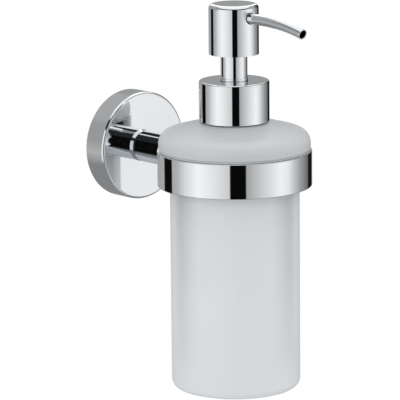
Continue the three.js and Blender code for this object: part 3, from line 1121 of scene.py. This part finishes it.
core_low, core_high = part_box("head_core")
head_low, head_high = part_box("head_shell")
spout_low, spout_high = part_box("spout")
head_radius = (head_high.x - head_low.x) / 2
head_wall = 1.2 * mm
head_edge = 2.1 * mm
spout_height = head_high.z - 5.75 * mm
spout_root = (spout_high.x - spout_low.x) / 2
spout_gap = 0.3 * mm
core_radius = (core_high.x - core_low.x) / 2
core_cavity = 6.75 * mm
core_cavity_top = spout_height - 4.4 * mm
core_boss = 4.9 * mm
core_boss_bottom = core_cavity_top - 7 * mm
core_socket = 3.9 * mm
core_seat = rod_high.z + 0.2 * mm
core_edge = 0.15 * mm
head_rim = 0.2 * mm

core = turn(
    "moulded_core",
    [
        (core_socket, core_seat),
        (core_socket, core_boss_bottom),
        (core_boss, core_boss_bottom),
        (core_boss, core_cavity_top),
        (core_cavity, core_cavity_top),
        (core_cavity, core_low.z),
        (core_radius, core_low.z),
        (core_radius, core_high.z - head_edge),
        (core_radius - head_edge, core_high.z),
    ],
    solid=True,
    sides=96,
)


def spout_drill(radius, start, end):
    """A level drill along the spout's root, measured out from the head's axis."""
    tool = turn("spout_drill", [(radius, start), (radius, end)], solid=True, sides=64)
    return stand(tool, (0, 0, spout_height), out_from_wall)


spout_start = 4 * mm
spout_seat = spout_start - 0.2 * mm
past_head = head_radius * 1.2
drill(core, spout_drill(spout_root + spout_gap, spout_seat, past_head))
break_edges(core, core_edge, segments=2)
stand(core, glass_axis)
fit(core, "head_core", "plunger", white_moulding)

head = turn(
    "chrome_head",
    [
        (head_radius - head_wall - head_edge, head_high.z - head_wall),
        (head_radius - head_wall, head_high.z - head_wall - head_edge),
        (head_radius - head_wall, head_low.z),
        (head_radius, head_low.z),
        (head_radius, head_high.z),
    ],
    solid=True,
    sides=192,
)
round_rim(head, head_radius, head_high.z, head_edge, segments=8)
drill(head, spout_drill(spout_root + spout_gap, core_cavity, past_head))
break_edges(head, head_rim, segments=2)
stand(head, glass_axis)
fit(head, "head_shell", "plunger", bright_chrome)


# ---- Spout ----
# A thin chrome tube, slightly tapered, level where it enters the head and then bent down.
# It is drawn out ring by ring; each ring is turned about the bend's centre.

spout_reach = 45 * mm
spout_straight = 18 * mm
spout_drop = 3.5 * mm
spout_tip = 2.35 * mm
spout_bore = 1.9 * mm
spout_rings = 40
bore_rings = 5
spout_edge = 0.12 * mm

spout_run = spout_reach - spout_straight
bend_radius = (spout_run**2 + spout_drop**2) / (2 * spout_drop)
bend_angle = math.asin(spout_run / bend_radius)
bend_centre = (0, -spout_straight, spout_height - bend_radius)


put_down()
bpy.ops.mesh.primitive_circle_add(
    vertices=64,
    radius=spout_root,
    location=(0, -spout_start, spout_height),
    rotation=out_from_wall,
    fill_type="NGON",
)
spout = bpy.context.object
spout.name = "chrome_spout"
bpy.ops.object.transform_apply(location=True, rotation=True)
bpy.ops.object.mode_set(mode="EDIT")
bpy.ops.mesh.select_all(action="SELECT")
straight = (0, spout_start - spout_straight, 0)
bpy.ops.mesh.extrude_region_move(TRANSFORM_OT_translate={"value": straight})
taper = (spout_tip / spout_root) ** (1 / spout_rings)
for ring_number in range(1, spout_rings + 1):
    bpy.ops.mesh.extrude_region_move()
    bpy.ops.transform.rotate(
        value=-bend_angle / spout_rings, orient_axis="X", center_override=bend_centre
    )
    angle = bend_angle * ring_number / spout_rings
    middle = (
        0,
        bend_centre[1] - bend_radius * math.sin(angle),
        bend_centre[2] + bend_radius * math.cos(angle),
    )
    bpy.ops.transform.resize(value=(taper, taper, taper), center_override=middle)

# The bore runs back from the mouth, round the bend and along the straight.
bpy.ops.mesh.select_mode(type="FACE")
bpy.ops.mesh.inset(thickness=spout_tip - spout_bore)
for _ in range(bore_rings):
    bpy.ops.mesh.extrude_region_move()
    bpy.ops.transform.rotate(
        value=bend_angle / bore_rings, orient_axis="X", center_override=bend_centre
    )
bore_back = (0, spout_straight - spout_start - spout_root, 0)
bpy.ops.mesh.extrude_region_move(TRANSFORM_OT_translate={"value": bore_back})
bpy.ops.mesh.select_all(action="SELECT")
bpy.ops.mesh.normals_make_consistent(inside=False)
put_down()
break_edges(spout, spout_edge)
stand(spout, glass_axis)
fit(spout, "spout", "plunger", bright_chrome)


# ---- Studio ----
# An even white room with a pale floor far below. Polished metal sees more of it: a wide soft box
# on each side, black flags behind the camera and at the back, a dark gap overhead between the
# soft boxes, and a grey wall to the back left.

view_azimuth = math.radians(-42.385)
view_elevation = math.radians(11.905)
camera_side = math.sin(view_azimuth), -math.cos(view_azimuth)
camera_right = math.cos(view_azimuth), math.sin(view_azimuth)

# The room at eye level as stops round it: degrees from the camera towards its right, and level.
panels = (
    (-180, 0.34),
    (-160, 0.38),
    (-136, 0.42),
    (-112, 0.42),
    (-95, 0.48),
    (-80, 0.76),
    (-57, 1.02),
    (-36, 0.90),
    (-8.0, 0.66),
    (-7.3, 0.003),
    (16.0, 0.003),
    (16.7, 0.40),
    (34, 0.60),
    (54, 0.82),
    (72, 1.0),
    (86, 0.90),
    (98, 0.62),
    (114, 0.36),
    (132, 0.20),
    (139.5, 0.14),
    (140.5, 0.01),
    (163, 0.01),
    (164, 0.33),
    (180, 0.34),
)
high_gap = ((-180, 0.42), (-110, 0.42), (-75, 0.02), (75, 0.02), (100, 0.40), (180, 0.40))
back_flag = ((-130, 0.0), (-129, 1.0), (-108, 1.0), (-107, 0.0))
back_wall = ((-180, 1.0), (-88, 1.0), (-72, 0.0), (180, 0.0))
flag_level = 0.004
wall_level = 0.35
ceiling_level = 1.0
underfoot_level = 0.25
even_light = 1.0

# Where each part of the room starts and ends, as the upward share of the direction looked in.
wall_bottom = (-0.20, 0.08)
flag_bottom, flag_top = (-0.46, -0.40), (0.04, 0.12)
gap_bottom, gap_top = (0.46, 0.5), (0.73, 0.79)
underfoot_edge, underfoot_behind = (0.4, 0.52), (0.24, 0.54)

room = Finish(bpy.data.worlds.new("white_room"))
bpy.context.scene.world = room.owner
east, north, rise = room.split(room.node("ShaderNodeTexCoord"))
across = east * camera_right[0] + north * camera_right[1]
towards = east * camera_side[0] + north * camera_side[1]
bearing = across.math("ARCTAN2", across, towards) / (2 * math.pi) + 0.5


def around(stops):
    """The level at this bearing."""
    shares = [((degrees + 180) / 360, float(level)) for degrees, level in stops]
    return room.node("ShaderNodeValToRGB", {"stops": shares}, {"Fac": bearing})


def shade(share, first, second):
    return room.node(
        "ShaderNodeMix", {"data_type": "RGBA"}, {"Factor": share, 6: first, 7: second}, output=2
    )


def even(level):
    return (level, level, level, 1)


behind = around(back_wall) * rise.ramp(*wall_bottom)
seen_in_metal = shade(behind, around(panels), even(wall_level))
seen_in_metal = shade(rise.ramp(*gap_bottom), seen_in_metal, around(high_gap))
seen_in_metal = shade(rise.ramp(*gap_top), seen_in_metal, even(ceiling_level))
underfoot = even(underfoot_level)
drop = rise * -1
seen_in_metal = shade(around(back_wall) * drop.ramp(*underfoot_behind), seen_in_metal, underfoot)
seen_in_metal = shade(drop.ramp(*underfoot_edge), seen_in_metal, underfoot)
flagged = around(back_flag) * rise.ramp(*flag_bottom) * (1 - rise.ramp(*flag_top))
seen_in_metal = shade(flagged, seen_in_metal, even(flag_level))
light = shade(room.ray("Glossy"), even(even_light), seen_in_metal)
light = shade(room.ray("Camera"), light, even(1))
sky = room.node("ShaderNodeBackground", inputs={"Color": light, "Strength": 1.0})
room.node("ShaderNodeOutputWorld", inputs={"Surface": sky})

floor_drop = 0.45
floor_size = 12
floor_pale, floor_white = (0.8, 0.8, 0.8), (0.84, 0.84, 0.84)
floor_glow = 1.04
glow_share = 0.93

put_down()
bpy.ops.mesh.primitive_grid_add(
    x_subdivisions=8,
    y_subdivisions=8,
    size=floor_size,
    location=(0, 0, glass_low.z - floor_drop),
)
floor = bpy.context.object
floor.name = "studio_floor"
bpy.ops.object.transform_apply(location=True)
pale = Finish(bpy.data.materials.new("pale_floor"))
mottling = pale.blend(pale.noise(scale=3, detail=2), floor_pale, floor_white)
cloth = pale.node("ShaderNodeBsdfDiffuse", inputs={"Color": mottling})
glow = pale.node("ShaderNodeEmission", inputs={"Color": even(1), "Strength": floor_glow})
seen_share = pale.ray("Camera") * glow_share
mixed = pale.node("ShaderNodeMixShader", inputs={0: seen_share, 1: cloth, 2: glow})
pale.node("ShaderNodeOutputMaterial", inputs={"Surface": mixed})
floor.data.materials.append(pale.owner)
floor.visible_glossy = False


def square_lamp(name, place, looks_at, size, watts):
    """A square lamp at its place, turned to what it lights."""
    lamp = bpy.data.lights.new(name, "AREA")
    lamp.energy = watts
    lamp.size = size
    holder = bpy.data.objects.new(name, lamp)
    bpy.context.scene.collection.objects.link(holder)
    holder.location = place
    holder.rotation_euler = (place - looks_at).to_track_quat("Z", "Y").to_euler()
    return holder


def direction(azimuth, elevation):
    """From the bottle, by degrees to the right of the wall's outward normal and degrees up."""
    turned, lift = math.radians(azimuth), math.radians(elevation)
    level = math.cos(lift)
    return Vector((math.sin(turned) * level, -math.cos(turned) * level, math.sin(lift)))


# Two soft boxes that polished metal doesn't show: name, azimuth, elevation and watts.
box_distance = 0.9
box_size = 0.6
soft_boxes = (("left_box", -72, 14, 1.1), ("right_box", 60, 40, 1.2))
for box_name, azimuth, elevation, watts in soft_boxes:
    box_place = glass_axis + direction(azimuth, elevation) * box_distance
    soft_box = square_lamp(box_name, box_place, glass_axis, box_size, watts)
    soft_box.visible_glossy = False

# One small card over the spout lays a bright line along its top.
card_place = Vector((0.103, 0.036, 0.163))
card_size = 0.13
card_glow = 1.1
spout_middle = Vector((0, glass_axis.y - 0.75 * spout_reach, spout_height))
card_watts = card_glow * math.pi * card_size**2
card = square_lamp("spout_card", card_place, spout_middle, card_size, card_watts)
card.visible_camera = False
card.visible_diffuse = False


# ---- Camera ----
# A long lens from the dispenser's left front, a little above it.

camera_distance = 1.5595
camera_roll = math.radians(-0.521)
sight_right = -16.007 * mm
sight_height = -16.772 * mm
sensor_width = 36.0
lens = 306.0
farthest = 50

away = Vector(
    (
        math.sin(view_azimuth) * math.cos(view_elevation),
        -math.cos(view_azimuth) * math.cos(view_elevation),
        math.sin(view_elevation),
    )
)
level_right = Vector((*camera_right, 0))
level_up = away.cross(level_right)
right = level_right * math.cos(camera_roll) + level_up * math.sin(camera_roll)
up = away.cross(right)
target = glass_axis + level_right * sight_right + Vector((0, 0, sight_height))

lens_data = bpy.data.cameras.new("camera")
lens_data.lens = lens
lens_data.sensor_width = sensor_width
lens_data.clip_end = farthest
camera = bpy.data.objects.new("camera", lens_data)
bpy.context.scene.collection.objects.link(camera)
pose = Matrix((right, up, away)).transposed().to_4x4()
pose.translation = target + away * camera_distance
camera.matrix_world = pose
bpy.context.scene.camera = camera
bpy.context.scene.view_settings.view_transform = "Standard"

put_down()
